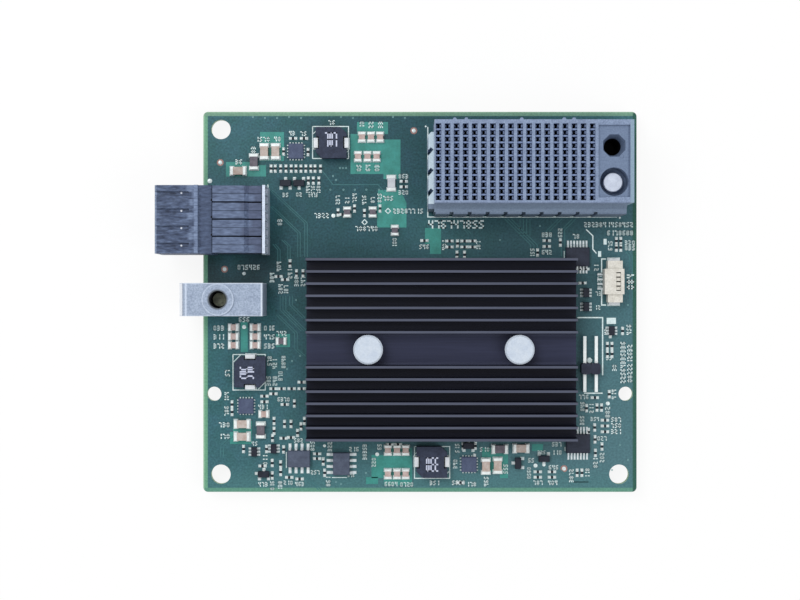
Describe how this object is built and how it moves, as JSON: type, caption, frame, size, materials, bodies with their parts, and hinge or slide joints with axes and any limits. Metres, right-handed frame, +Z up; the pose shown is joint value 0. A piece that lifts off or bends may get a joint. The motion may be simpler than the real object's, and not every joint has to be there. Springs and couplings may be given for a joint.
{
  "type": "mezzanine network card",
  "caption": "Small server daughter card that lies flat, with a finned heatsink on push pins, a tall grid connector and a connector and guide block that overhang one edge.",
  "frame": {"origin": "on the surface under the card, at the middle of its whole length and width", "axes": "+X along the card away from the overhanging connector, +Y across it towards the edge with the grid connector, +Z up from the component side"},
  "size_m": [0.0996, 0.08, 0.0191],
  "materials": {
    "board": "dark green solder mask over copper, paler at the rim",
    "host_plastic": "light blue-grey moulded plastic",
    "contact_metal": "plated contacts",
    "pin_metal": "plated, end ground flat",
    "screw_steel": "plain",
    "rear_plastic": "slate blue-grey moulded plastic",
    "wafer_plastic": "slate blue-grey moulded plastic",
    "strip_metal": "bright sheared edge",
    "tail_metal": "tin plated",
    "cast_metal": "satin cast and plated",
    "black_anodised": "black anodised, satin",
    "white_plastic": "white nylon",
    "spring_steel": "bright",
    "substrate": "green organic substrate",
    "lid_metal": "nickel plated",
    "pad_rubber": "soft grey pad",
    "inductor_body": "pressed powder core, dark purple grey",
    "solder_plate": "tin plated",
    "regulator_body": "dark moulded body",
    "chip_body": "dark moulded body",
    "lead_plate": "tin plated",
    "small_chip_body": "dark moulded body",
    "tan_ceramic": "tan fired ceramic",
    "brown_ceramic": "brown-grey fired ceramic",
    "dark_ceramic": "dark ferrite",
    "resistor_body": "pale glaze",
    "end_plate": "tin plated",
    "cream_plastic": "cream moulded plastic",
    "header_plastic": "black moulded plastic",
    "pin_plate": "bright plated"
  },
  "bodies": {
    "root": {"pcb": "board", "host_housing": "host_plastic", "host_contacts": "contact_metal", "host_guide_pin": "pin_metal", "host_guide_screw": "screw_steel", "rear_housing": "rear_plastic", "rear_wafers": "wafer_plastic", "rear_strip": "strip_metal", "rear_tails": "tail_metal", "guide_block": "cast_metal", "guide_screw": "screw_steel", "heatsink": "black_anodised", "push_pins": "white_plastic", "push_pin_springs": "spring_steel", "controller_substrate": "substrate", "controller_lid": "lid_metal", "thermal_pad": "pad_rubber", "inductor_cores": "inductor_body", "inductor_clips": "solder_plate", "regulator_chips": "regulator_body", "eight_lead_chips": "chip_body", "eight_lead_feet": "lead_plate", "fourteen_lead_chips": "chip_body", "fourteen_lead_feet": "lead_plate", "transistors": "small_chip_body", "transistor_leads": "lead_plate", "switch_chips": "small_chip_body", "switch_leads": "lead_plate", "large_capacitors": "tan_ceramic", "small_capacitors": "brown_ceramic", "ferrite_beads": "dark_ceramic", "sense_resistor": "resistor_body", "large_end_caps": "end_plate", "small_end_caps": "end_plate", "resistor_end_caps": "end_plate", "wire_housing": "cream_plastic", "wire_contacts": "lead_plate", "wire_tabs": "solder_plate", "header_body": "header_plastic", "header_pins": "pin_plate"}
  },
  "joints": []
}
